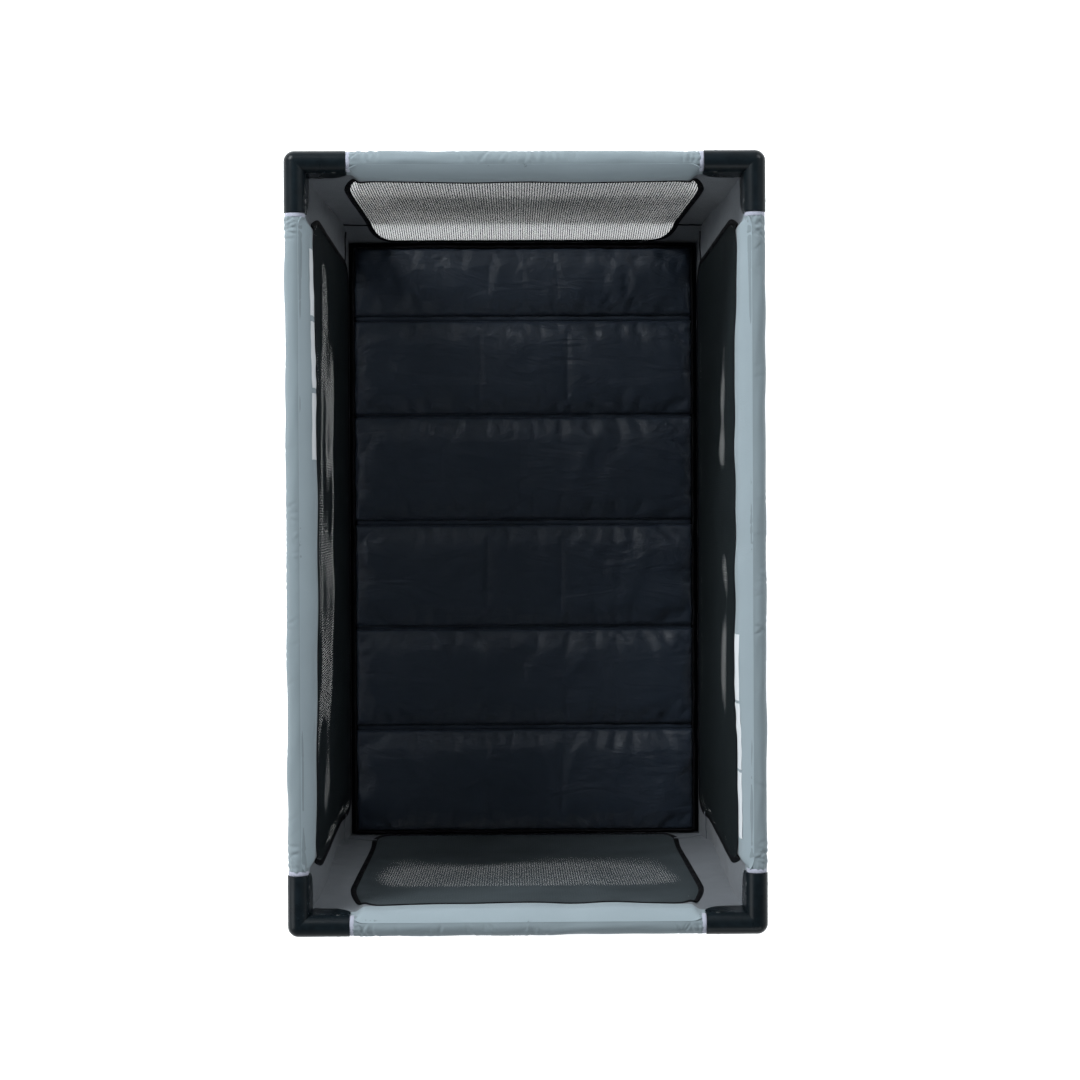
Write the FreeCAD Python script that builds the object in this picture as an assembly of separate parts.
import FreeCAD, Part
import math
import os

from FreeCAD import Vector

# A folding playpen that stands on the floor with its rim open upwards.
# X runs across the pen, Y along it, Z up. The origin is on the floor under the middle.
# Four legs stand at the corners. A base arm joins each leg to the middle hub, and two
# rail halves hang from each leg's corner cap. Each rail's halves meet at a latch.
# All turn by the same angle as the pen folds, because every rail half is as long as
# its own share of a base arm, and the pivot insets follow the same diagonal.

# Overall size
WIDTH = 638.0
LENGTH = 1041.0
HEIGHT = 750.0

# Rim
CAP_R = 14.5
CAP_ARM = 67.5
CAP_SOCKET_DEPTH = 72.0
CAP_SKIRT_DEPTH = 50.0
CAP_SKIRT_WALL = 3.0
CAP_PIVOT_INSET = 52.0
CAP_ROOF = 4.3
RAIL_R = 9.5
RAIL_WALL = 1.2
RAIL_EYE_WIDTH = 12.0
RAIL_NECK = 13.0
SLEEVE_R = 13.5
SLEEVE_SKIN = 1.2

# Mid-rail latches
LATCH_R = 12.0
LATCH_END = 12.2
BUTTON_LENGTH = 16.0
BUTTON_WIDTH = 9.0
BUTTON_TRAVEL = 4.0
BUTTON_HEIGHT = 9.0

# Legs and feet
LEG_R = 11.0
LEG_WALL = 1.2
LEG_SLEEVE_R = 13.5
FOOT_PAD = 14.0
FOOT_PAD_SIDE = 58.0
FOOT_SOCKET_TOP = 88.0
FOOT_FLOOR = 8.0
FOOT_PIVOT_INSET = 85.0

# Base
HUB_PIVOT_R = 65.0
HUB_CORE_R = 46.0
HUB_TOP = 62.0
HUB_BASE = 12.0
HUB_FOOT_R = 32.0
HUB_COVER_T = 3.0
ARM_Z = 44.0
ARM_R = 11.0
ARM_WALL = 1.4
ARM_EYE_WIDTH = 20.0
ARM_NECK = 17.5
CLEVIS_WALL = 6.0
CLEVIS_END = 12.0
CLEVIS_DROP = 14.0
STRAP_WIDTH = 25.0
STRAP_LENGTH = 120.0
STRAP_T = 1.5

# Rivets and clearances
RIVET_R = 3.0
RUN_GAP = 0.06
OPEN_PIVOT_GAP = 0.5
SLIDE_GAP = 0.4
SOFT_GAP = 0.5
SEAT_GAP = 0.05

# Soft goods
FABRIC_T = 2.0
NET_T = 1.0
WALL_X = 287.0
WALL_Y = 488.0
WALL_TOP = 721.0
FLOOR_Z = 66.0
WINDOW_INSET_END = 42.0
WINDOW_LOW = 122.0
WINDOW_HIGH = 676.0
WINDOW_CORNER = 60.0
MATTRESS_WIDTH = 558.0
MATTRESS_T = 27.0
MATTRESS_UNDER = 3.0
PANEL_LENGTHS = (169.0, 164.0, 173.0, 175.0, 160.0, 118.0)
PANEL_EDGE = 8.0
PANEL_SEAM = 5.0
SEAM_WEB = 3.0
SECTION_GAP = 1.0

# Worked out from the sizes above
LEG_X = WIDTH / 2 - CAP_R
LEG_Y = LENGTH / 2 - CAP_R
RIM_Z = HEIGHT - CAP_R
DIAGONAL = math.hypot(LEG_X, LEG_Y)
DIAGONAL_TURN = math.degrees(math.atan2(LEG_Y, LEG_X))
ARM_OFFSETS = HUB_PIVOT_R + FOOT_PIVOT_INSET
FOOT_PIVOT_R = DIAGONAL - FOOT_PIVOT_INSET
LATCH_PIVOT_X = ARM_OFFSETS * LEG_X / DIAGONAL - CAP_PIVOT_INSET
LATCH_PIVOT_Y = ARM_OFFSETS * LEG_Y / DIAGONAL - CAP_PIVOT_INSET
ARM_LENGTH = FOOT_PIVOT_R - HUB_PIVOT_R
SHORT_HALF = ARM_LENGTH * LEG_X / DIAGONAL
LONG_HALF = ARM_LENGTH * LEG_Y / DIAGONAL
FLOOR_TOP = FLOOR_Z + FABRIC_T
MATTRESS_Z = FLOOR_TOP + MATTRESS_UNDER
CLEVIS_SLOT = ARM_EYE_WIDTH + 2 * SLIDE_GAP
CLEVIS_WIDTH = CLEVIS_SLOT + 2 * CLEVIS_WALL
LATCH_SLOT = RAIL_EYE_WIDTH + 2 * SLIDE_GAP
RAIL_CLEARANCE = 0.7      # round a rail tube, where it passes through another piece
SKIRT_CURVE = ((0.7, 0.86), (0.96, 0.5))   # the skirt's edge: shares of the arm's length and the skirt's depth
CLEVIS_ROUND = 0.8        # share of a clevis end that is rounded
PAD_ROUND = 0.98          # a foot pad's corners, as a share of the cap's radius
WEB_HALF, WEB_LOW = 7, 2  # the rib between a foot's pad and its lug
WEB_REACH = 0.9           # share of the pad's side where the rib starts
SMALL_ROUND = 2.0         # fillet on a small block
STRAP_ROUND = 0.6         # a strap end's rounding, as a share of its half width
THROUGH = 200             # a cut that is longer than what it passes through
SOCKET_CUT = 90           # depth of the cap's leg hole, past the end of its socket
RAIL_CLEAR_R = RAIL_R + RAIL_CLEARANCE

X_AXIS = Vector(1, 0, 0)
Y_AXIS = Vector(0, 1, 0)
Z_AXIS = Vector(0, 0, 1)
ORIGIN = Vector(0, 0, 0)

SIDES_X = {-1: "left", 1: "right"}
SIDES_Y = {-1: "front", 1: "back"}


def box(x_low, x_high, y_low, y_high, z_low, z_high):
    """A box between two opposite corners."""
    low = Vector(x_low, y_low, z_low)
    return Part.makeBox(x_high - x_low, y_high - y_low, z_high - z_low, low)


def rod(radius, start, end):
    """A round bar from one point to another."""
    run = end - start
    return Part.makeCylinder(radius, run.Length, start, run)


def cross_rod(radius, centre, direction, length):
    """A round bar centred on a point."""
    half = direction * (length / 2)
    return rod(radius, centre - half, centre + half)


def tube(radius, wall, start, end):
    """A hollow round tube from one point to another."""
    return rod(radius, start, end).cut(rod(radius - wall, start, end))


def fused(shapes):
    """One solid from several that meet."""
    whole = shapes[0]
    for shape in shapes[1:]:
        whole = whole.fuse(shape)
    return whole.removeSplitter()


def turned(shape, degrees):
    """A copy turned about the pen's upright middle line."""
    copy = shape.copy()
    copy.rotate(ORIGIN, Z_AXIS, degrees)
    return copy


def moved(shape, x, y, z):
    """A copy shifted by the given distances."""
    copy = shape.copy()
    copy.translate(Vector(x, y, z))
    return copy


def swapped(shape):
    """A copy with X and Y exchanged, from a rail along X to a rail along Y."""
    return shape.mirror(ORIGIN, Vector(1, -1, 0))


def in_corner(shape, side_x, side_y):
    """A copy in the corner on the given sides, from one in the right back corner."""
    copy = shape.copy()
    if side_x < 0:
        copy = copy.mirror(ORIGIN, X_AXIS)
    if side_y < 0:
        copy = copy.mirror(ORIGIN, Y_AXIS)
    return copy


def export(name, *solids):
    """Writes one sub-part's file."""
    shape = solids[0] if len(solids) == 1 else Part.makeCompound(list(solids))
    if not shape.isValid():
        raise ValueError(name + " is not a valid shape")
    shape.exportStep("parts/" + name + ".step")


def knuckled_tube(length, radius, wall, eye_width, neck, bore_start, bore_end):
    """A tube along X between two pivots, with a drilled knuckle across Y at each end."""
    body = tube(radius, wall, Vector(neck, 0, 0), Vector(length - neck, 0, 0))
    pieces = [body]
    for pivot, inward in ((0.0, 1), (length, -1)):
        eye = cross_rod(radius, Vector(pivot, 0, 0), Y_AXIS, eye_width)
        eye = eye.common(rod(radius, Vector(pivot - radius, 0, 0), Vector(pivot + radius, 0, 0)))
        reach = pivot + inward * (neck + wall)
        near, far = sorted((pivot, reach))
        plug = rod(radius, Vector(near, 0, 0), Vector(far, 0, 0))
        cheeks = box(near, far, -eye_width / 2, eye_width / 2, -radius, radius)
        root_near, root_far = sorted((pivot + inward * neck, reach))
        root = rod(radius, Vector(root_near, 0, 0), Vector(root_far, 0, 0))
        pieces.append(eye)
        pieces.append(plug.common(cheeks))
        pieces.append(root)
    whole = fused(pieces)
    for pivot, bore in ((0.0, bore_start), (length, bore_end)):
        whole = whole.cut(cross_rod(bore, Vector(pivot, 0, 0), Y_AXIS, eye_width * 2))
    return whole


def cap_arm():
    """One arm of a corner cap along +X from the leg's axis: a channel that opens downwards."""
    outside = rod(CAP_R, ORIGIN, Vector(CAP_ARM, 0, 0))
    skirt_low = -CAP_SKIRT_DEPTH
    inner_face = CAP_R - CAP_SKIRT_WALL
    points = [
        Vector(0, inner_face, 0),
        Vector(0, inner_face, skirt_low),
        Vector(CAP_ARM * SKIRT_CURVE[0][0], inner_face, skirt_low * SKIRT_CURVE[0][1]),
    ]
    end = Vector(CAP_ARM, inner_face, -CAP_R * 0.3)
    bulge = Vector(CAP_ARM * SKIRT_CURVE[1][0], inner_face, skirt_low * SKIRT_CURVE[1][1])
    top = Vector(CAP_ARM, inner_face, 0)
    outline = [
        Part.LineSegment(points[0], points[1]).toShape(),
        Part.LineSegment(points[1], points[2]).toShape(),
        Part.Arc(points[2], bulge, end).toShape(),
        Part.LineSegment(end, top).toShape(),
        Part.LineSegment(top, points[0]).toShape(),
    ]
    face = Part.Face(Part.Wire(outline))
    skirt = face.extrude(Vector(0, CAP_SKIRT_WALL, 0))
    return outside, skirt


def cap_channel():
    """The room inside one cap arm for the rail's knuckle and its swing."""
    start = CAP_PIVOT_INSET - RAIL_CLEAR_R - 1.0
    end = CAP_ARM + 1.0
    drop = CAP_R + CAP_SKIRT_DEPTH
    eye_half = RAIL_EYE_WIDTH / 2 + SLIDE_GAP
    roof = rod(RAIL_CLEAR_R, Vector(start, 0, 0), Vector(end, 0, 0))
    eye_room = box(start, end, -eye_half, eye_half, 0, RAIL_CLEAR_R)
    below = box(start, end, -RAIL_CLEAR_R, RAIL_CLEAR_R, -drop, 0)
    return roof.fuse(eye_room).fuse(below)


def corner_cap():
    """The moulded elbow that holds a leg and two rail halves, in the right back corner."""
    outside, skirt = cap_arm()
    socket = rod(CAP_R, ORIGIN, Vector(0, 0, -CAP_SOCKET_DEPTH))
    arm_x = outside.fuse(skirt)
    # the arms point towards the middle of the pen, and their skirts are on its side
    arms = [arm_x.mirror(ORIGIN, X_AXIS).mirror(ORIGIN, Y_AXIS)]
    arms.append(swapped(arms[0]))
    whole = fused([Part.makeSphere(CAP_R), socket] + arms)
    channel = cap_channel().mirror(ORIGIN, X_AXIS)
    leg_hole = rod(LEG_R + SEAT_GAP, Vector(0, 0, CAP_R - CAP_ROOF - LEG_R / 2), Vector(0, 0, -SOCKET_CUT))
    whole = whole.cut(channel).cut(swapped(channel)).cut(leg_hole)
    for rivet in cap_rivets(RIVET_R + SEAT_GAP, CAP_R * 3):
        whole = whole.cut(rivet)
    return moved(whole, LEG_X, LEG_Y, RIM_Z)


def cap_rivets(radius, length):
    """The two rail rivets of a cap, about the crossing of its arms."""
    across_y = cross_rod(radius, Vector(-CAP_PIVOT_INSET, 0, 0), Y_AXIS, length)
    return [across_y, swapped(across_y)]


def pivot_rivets():
    """The rivets that a leg carries: two at its cap and one at its foot."""
    length = 2 * CAP_R - SEAT_GAP
    rivets = [moved(r, LEG_X, LEG_Y, RIM_Z) for r in cap_rivets(RIVET_R, length)]
    foot = cross_rod(RIVET_R, Vector(FOOT_PIVOT_R, 0, ARM_Z), Y_AXIS, CLEVIS_WIDTH)
    rivets.append(turned(foot, DIAGONAL_TURN))
    return rivets


def leg_tube():
    """An upright leg from its foot into its cap."""
    start = Vector(LEG_X, LEG_Y, FOOT_FLOOR)
    end = Vector(LEG_X, LEG_Y, RIM_Z + CAP_R - CAP_ROOF - LEG_R / 2 - SEAT_GAP)
    return tube(LEG_R, LEG_WALL, start, end)


def clevis(pivot_r, inward, root_r):
    """Two cheeks along +X that hold an arm's knuckle, from root_r past pivot_r."""
    tip = pivot_r + inward * CLEVIS_END
    near, far = sorted((root_r, tip))
    half = CLEVIS_WIDTH / 2
    low, high = ARM_Z - CLEVIS_DROP, ARM_Z + CLEVIS_DROP
    block = box(near, far, -half, half, low, high)
    edges = [
        e
        for e in block.Edges
        if abs(e.BoundBox.XMin - tip) < 0.01 and abs(e.BoundBox.XMax - tip) < 0.01
        and e.BoundBox.YLength > CLEVIS_WIDTH / 2
    ]
    return block.makeFillet(CLEVIS_END * CLEVIS_ROUND, edges)


def clevis_slot(pivot_r, inward):
    """The gap between a clevis's cheeks, open above, below and at its tip."""
    back = pivot_r - inward * (ARM_R + 1.5)
    tip = pivot_r + inward * (CLEVIS_END + 1.0)
    near, far = sorted((back, tip))
    half = CLEVIS_SLOT / 2
    return box(near, far, -half, half, ARM_Z - CLEVIS_DROP * 2, ARM_Z + CLEVIS_DROP * 2)


def foot():
    """The moulded floor foot with a leg socket and an arm clevis, in the right back corner."""
    outer_x, outer_y = WIDTH / 2, LENGTH / 2
    pad = box(outer_x - FOOT_PAD_SIDE, outer_x, outer_y - FOOT_PAD_SIDE, outer_y, 0, FOOT_PAD)
    upright = [e for e in pad.Edges if e.BoundBox.ZLength > FOOT_PAD / 2]
    pad = pad.makeFillet(CAP_R * PAD_ROUND, upright)
    rim = [e for e in pad.Edges if e.BoundBox.ZMin > FOOT_PAD - 0.01]
    pad = pad.makeFillet(FOOT_PAD / 4, rim)
    socket = rod(CAP_R - 0.5, Vector(LEG_X, LEG_Y, 1), Vector(LEG_X, LEG_Y, FOOT_SOCKET_TOP))
    lug = clevis(FOOT_PIVOT_R, -1, DIAGONAL - LEG_R / 2)
    web = box(
        DIAGONAL - FOOT_PAD_SIDE * WEB_REACH, DIAGONAL - LEG_R / 2,
        -WEB_HALF, WEB_HALF, WEB_LOW, ARM_Z,
    )
    whole = fused([pad, socket, turned(lug, DIAGONAL_TURN), turned(web, DIAGONAL_TURN)])
    leg_hole = rod(LEG_R + SEAT_GAP, Vector(LEG_X, LEG_Y, FOOT_FLOOR), Vector(LEG_X, LEG_Y, THROUGH))
    slot = turned(clevis_slot(FOOT_PIVOT_R, -1), DIAGONAL_TURN)
    pin = cross_rod(RIVET_R + SEAT_GAP, Vector(FOOT_PIVOT_R, 0, ARM_Z), Y_AXIS, CLEVIS_WIDTH * 2)
    return whole.cut(leg_hole).cut(slot).cut(turned(pin, DIAGONAL_TURN))


def base_arm():
    """A base arm from the hub to a foot, in the right back corner."""
    bore = RIVET_R + RUN_GAP
    arm = knuckled_tube(ARM_LENGTH, ARM_R, ARM_WALL, ARM_EYE_WIDTH, ARM_NECK, bore, bore)
    return turned(moved(arm, HUB_PIVOT_R, 0, ARM_Z), DIAGONAL_TURN)


def hub_turns():
    """The directions of the four base arms."""
    return (
        DIAGONAL_TURN,
        180.0 - DIAGONAL_TURN,
        180.0 + DIAGONAL_TURN,
        360.0 - DIAGONAL_TURN,
    )


def hub_housing():
    """The middle block with a clevis for each base arm."""
    core = rod(HUB_CORE_R, Vector(0, 0, HUB_BASE), Vector(0, 0, HUB_TOP))
    core = core.makeFillet(HUB_COVER_T, core.Edges[0])
    lugs = [turned(clevis(HUB_PIVOT_R, 1, 0.0), t) for t in hub_turns()]
    whole = fused([core] + lugs)
    pin = cross_rod(RIVET_R + SEAT_GAP, Vector(HUB_PIVOT_R, 0, ARM_Z), Y_AXIS, CLEVIS_WIDTH * 2)
    for turn in hub_turns():
        whole = whole.cut(turned(clevis_slot(HUB_PIVOT_R, 1), turn))
        whole = whole.cut(turned(pin, turn))
    return whole


def hub_pins():
    """The four rivets of the hub."""
    pin = cross_rod(RIVET_R, Vector(HUB_PIVOT_R, 0, ARM_Z), Y_AXIS, CLEVIS_WIDTH)
    return [turned(pin, turn) for turn in hub_turns()]


def hub_cover():
    """The round lid on the hub."""
    lid = rod(HUB_CORE_R - 8, Vector(0, 0, HUB_TOP), Vector(0, 0, HUB_TOP + HUB_COVER_T))
    top_edge = [e for e in lid.Edges if e.BoundBox.ZMin > HUB_TOP + HUB_COVER_T - 0.01]
    lid = lid.makeFillet(HUB_COVER_T / 2, top_edge)
    return lid


def hub_foot():
    """The soft pad under the hub."""
    pad = rod(HUB_FOOT_R, ORIGIN, Vector(0, 0, HUB_BASE))
    bottom_edge = [e for e in pad.Edges if e.BoundBox.ZMax < 0.01]
    return pad.makeFillet(SMALL_ROUND, bottom_edge)


def pull_strap():
    """The webbing that pulls the hub up, laid flat on the fabric floor."""
    low = FLOOR_TOP + SOFT_GAP
    half_l, half_w = STRAP_LENGTH / 2, STRAP_WIDTH / 2
    flat = box(-half_w, half_w, -half_l, half_l, low, low + STRAP_T)
    flat_ends = [e for e in flat.Edges if e.BoundBox.ZLength > STRAP_T / 2]
    flat = flat.makeFillet(half_w * STRAP_ROUND, flat_ends)
    stem = box(-half_w, half_w, -STRAP_T, STRAP_T, HUB_TOP + HUB_COVER_T, low + STRAP_T)
    return fused([flat, stem])


def rail_half(length, start_bore, end_bore):
    """A rail half along -X from its cap pivot, at the rim's height."""
    tube_x = knuckled_tube(
        length, RAIL_R, RAIL_WALL, RAIL_EYE_WIDTH, RAIL_NECK, start_bore, end_bore
    )
    return tube_x.mirror(ORIGIN, X_AXIS)


def sleeve_half(end, latch_half):
    """A padded rail sleeve along X from the middle of the rail to its cap."""
    start = SECTION_GAP / 2
    outside = rod(SLEEVE_R, Vector(start, 0, 0), Vector(end, 0, 0))
    bore = rod(RAIL_R + SOFT_GAP, Vector(-1, 0, 0), Vector(end + 1, 0, 0))
    latch_bore = rod(
        SLEEVE_R - SLEEVE_SKIN, Vector(-1, 0, 0), Vector(latch_half + SOFT_GAP, 0, 0)
    )
    window_x = BUTTON_LENGTH / 2 + 2
    window_y = BUTTON_WIDTH / 2 + 1
    window = box(-1, window_x, -window_y, window_y, -SLEEVE_R - 1, 0)
    return outside.cut(bore).cut(latch_bore).cut(window)


def latch(pivot):
    """The mid-rail housing along X. Its moulded pins hold the two rail halves."""
    half = pivot + LATCH_END
    whole = rod(LATCH_R, Vector(-pivot, 0, 0), Vector(pivot, 0, 0))
    for side in (-1, 1):
        near, far = sorted((0.0, side * half))
        end = rod(LATCH_R, Vector(near, 0, 0), Vector(far, 0, 0))
        round_end = cross_rod(LATCH_END, Vector(side * pivot, 0, 0), Y_AXIS, LATCH_R * 3)
        whole = whole.fuse(end.common(round_end))
    for side in (-1, 1):
        back = side * (pivot - RAIL_R - RAIL_WALL)
        near, far = sorted((back, side * (half + 1)))
        slot_half = LATCH_SLOT / 2
        whole = whole.cut(box(near, far, -slot_half, slot_half, -LATCH_R * 2, LATCH_R * 2))
        pin = cross_rod(RIVET_R, Vector(side * pivot, 0, 0), Y_AXIS, LATCH_R * 1.9)
        whole = whole.fuse(pin)
    pocket_x = BUTTON_LENGTH / 2 + SLIDE_GAP
    pocket_y = BUTTON_WIDTH / 2 + SLIDE_GAP
    roof = -LATCH_R + BUTTON_HEIGHT + BUTTON_TRAVEL + SLIDE_GAP - 1.0
    pocket = box(-pocket_x, pocket_x, -pocket_y, pocket_y, -LATCH_R - 1, roof)
    return whole.cut(pocket).removeSplitter()


def latch_button():
    """The release button in the underside of a latch."""
    low = -LATCH_R - 1.0
    half_x, half_y = BUTTON_LENGTH / 2, BUTTON_WIDTH / 2
    block = box(-half_x, half_x, -half_y, half_y, low, low + BUTTON_HEIGHT)
    upright = [e for e in block.Edges if e.BoundBox.ZLength > BUTTON_HEIGHT / 2]
    return block.makeFillet(SMALL_ROUND, upright)


def window_hole(half_width, depth):
    """The rounded mesh window of a wall across the middle, as a solid along X and Z."""
    low, high = WINDOW_LOW, WINDOW_HIGH
    block = box(-half_width, half_width, -depth, depth, low, high)
    across = [e for e in block.Edges if e.BoundBox.YLength > depth]
    return block.makeFillet(WINDOW_CORNER, across)


def wall_and_net(half_length, window_half, place):
    """Half of a wall along +X from its middle, and the half of its net, at Y = place."""
    plate = box(
        SECTION_GAP / 2, half_length, place - FABRIC_T / 2, place + FABRIC_T / 2,
        FLOOR_Z, WALL_TOP,
    )
    hole = moved(window_hole(window_half, FABRIC_T * 4), 0, place, 0)
    half_space = box(
        SECTION_GAP / 2, half_length, place - NET_T / 2, place + NET_T / 2,
        FLOOR_Z, WALL_TOP,
    )
    return plate.cut(hole), hole.common(half_space)


def tub_corner():
    """The fabric of one corner of the pen, and its nets, in the right back corner."""
    inner_x = WALL_X - FABRIC_T / 2
    short_wall, short_net = wall_and_net(inner_x, inner_x - WINDOW_INSET_END, WALL_Y)
    outer_y = WALL_Y + FABRIC_T / 2
    window_y = WALL_Y - WINDOW_INSET_END
    long_wall, long_net = wall_and_net(outer_y, window_y, WALL_X)
    inner_y = WALL_Y - FABRIC_T / 2
    floor = box(SECTION_GAP / 2, inner_x, SECTION_GAP / 2, inner_y, FLOOR_Z, FLOOR_TOP)
    half_w = STRAP_WIDTH / 2 + 2
    floor = floor.cut(box(-1, half_w, -1, STRAP_T + 2, FLOOR_Z - 1, FLOOR_TOP + 1))
    leg_low = Vector(LEG_X, LEG_Y, FOOT_SOCKET_TOP + 1)
    leg_high = Vector(LEG_X, LEG_Y, RIM_Z - CAP_SOCKET_DEPTH - 1)
    around_leg = tube(LEG_SLEEVE_R, LEG_SLEEVE_R - LEG_R - 0.3, leg_low, leg_high)
    fabric = [short_wall, swapped(long_wall), floor, around_leg]
    return fabric, [short_net, swapped(long_net)]


def mattress_panel(y_low, y_high):
    """One padded panel between two cross seams."""
    half = MATTRESS_WIDTH / 2
    panel = box(-half, half, y_low, y_high, MATTRESS_Z, MATTRESS_Z + MATTRESS_T)
    return panel.makeFillet(PANEL_EDGE, panel.Edges)


def mattress_sections():
    """The three pairs of panels between the two fold lines, from front to back."""
    y = -sum(PANEL_LENGTHS) / 2
    sections = []
    for first in range(0, len(PANEL_LENGTHS), 2):
        middle = y + PANEL_LENGTHS[first]
        end = middle + PANEL_LENGTHS[first + 1]
        gap = SECTION_GAP / 2
        seam = PANEL_SEAM / 2
        web_z = MATTRESS_Z + MATTRESS_T / 2
        web_x = MATTRESS_WIDTH / 2 - PANEL_EDGE
        web = box(
            -web_x, web_x, middle - PANEL_SEAM, middle + PANEL_SEAM,
            web_z - SEAM_WEB / 2, web_z + SEAM_WEB / 2,
        )
        front_panel = mattress_panel(y + gap, middle - seam)
        back_panel = mattress_panel(middle + seam, end - gap)
        sections.append(fused([front_panel, back_panel, web]))
        y = end
    return sections


def make_corners():
    """The pieces that repeat in every corner: leg, foot, cap, arm and fabric."""
    cap, leg, base_foot, arm = corner_cap(), leg_tube(), foot(), base_arm()
    rivets = pivot_rivets()
    fabric, nets = tub_corner()
    for side_y, name_y in SIDES_Y.items():
        for side_x, name_x in SIDES_X.items():
            corner = name_y + "_" + name_x
            export("corner_cap_" + corner, in_corner(cap, side_x, side_y))
            export("leg_tube_" + corner, in_corner(leg, side_x, side_y))
            export("foot_" + corner, in_corner(base_foot, side_x, side_y))
            export("base_arm_" + corner, in_corner(arm, side_x, side_y))
            export("pivot_rivets_" + corner, *[in_corner(r, side_x, side_y) for r in rivets])
            export("tub_fabric_" + corner, *[in_corner(f, side_x, side_y) for f in fabric])
            export("mesh_window_" + corner, *[in_corner(n, side_x, side_y) for n in nets])


def make_rails():
    """The rail halves and their sleeves on the four sides."""
    run_bore = RIVET_R + RUN_GAP
    open_bore = RIVET_R + OPEN_PIVOT_GAP
    for side_y, name_y in SIDES_Y.items():
        for side_x, name_x in SIDES_X.items():
            # the latch rides on the left half of a short rail and the front half of a long one
            short_bore = run_bore if side_x < 0 else open_bore
            long_bore = run_bore if side_y < 0 else open_bore
            pivot_x, pivot_y = LEG_X - CAP_PIVOT_INSET, LEG_Y - CAP_PIVOT_INSET
            short = moved(rail_half(SHORT_HALF, run_bore, short_bore), pivot_x, LEG_Y, RIM_Z)
            long = swapped(rail_half(LONG_HALF, run_bore, long_bore))
            long = moved(long, LEG_X, pivot_y, RIM_Z)
            short_sleeve = sleeve_half(LEG_X - CAP_ARM - SOFT_GAP, LATCH_PIVOT_X + LATCH_END)
            long_sleeve = sleeve_half(LEG_Y - CAP_ARM - SOFT_GAP, LATCH_PIVOT_Y + LATCH_END)
            short_sleeve = moved(short_sleeve, 0, LEG_Y, RIM_Z)
            long_sleeve = moved(swapped(long_sleeve), LEG_X, 0, RIM_Z)
            short_name = name_y + "_rail_" + name_x
            long_name = name_x + "_rail_" + name_y
            export(short_name + "_tube", in_corner(short, side_x, side_y))
            export(long_name + "_tube", in_corner(long, side_x, side_y))
            export(short_name + "_sleeve", in_corner(short_sleeve, side_x, side_y))
            export(long_name + "_sleeve", in_corner(long_sleeve, side_x, side_y))


def make_latches():
    """The latch and its button in the middle of each rail."""
    short, long = latch(LATCH_PIVOT_X), swapped(latch(LATCH_PIVOT_Y))
    button = latch_button()
    for side_y, name_y in SIDES_Y.items():
        export(name_y + "_latch", moved(short, 0, side_y * LEG_Y, RIM_Z))
        export(name_y + "_latch_button", moved(button, 0, side_y * LEG_Y, RIM_Z))
    for side_x, name_x in SIDES_X.items():
        export(name_x + "_latch", moved(long, side_x * LEG_X, 0, RIM_Z))
        export(name_x + "_latch_button", moved(swapped(button), side_x * LEG_X, 0, RIM_Z))


def make_base():
    """The hub and what is fixed to it."""
    export("hub_housing", hub_housing())
    export("hub_cover", hub_cover())
    export("hub_foot", hub_foot())
    export("hub_pins", *hub_pins())
    export("pull_strap", pull_strap())


def make_mattress():
    """The three folding sections of the mattress."""
    for name, section in zip(("front", "middle", "back"), mattress_sections()):
        export("mattress_" + name, section)


os.makedirs("parts", exist_ok=True)
make_corners()
make_rails()
make_latches()
make_base()
make_mattress()
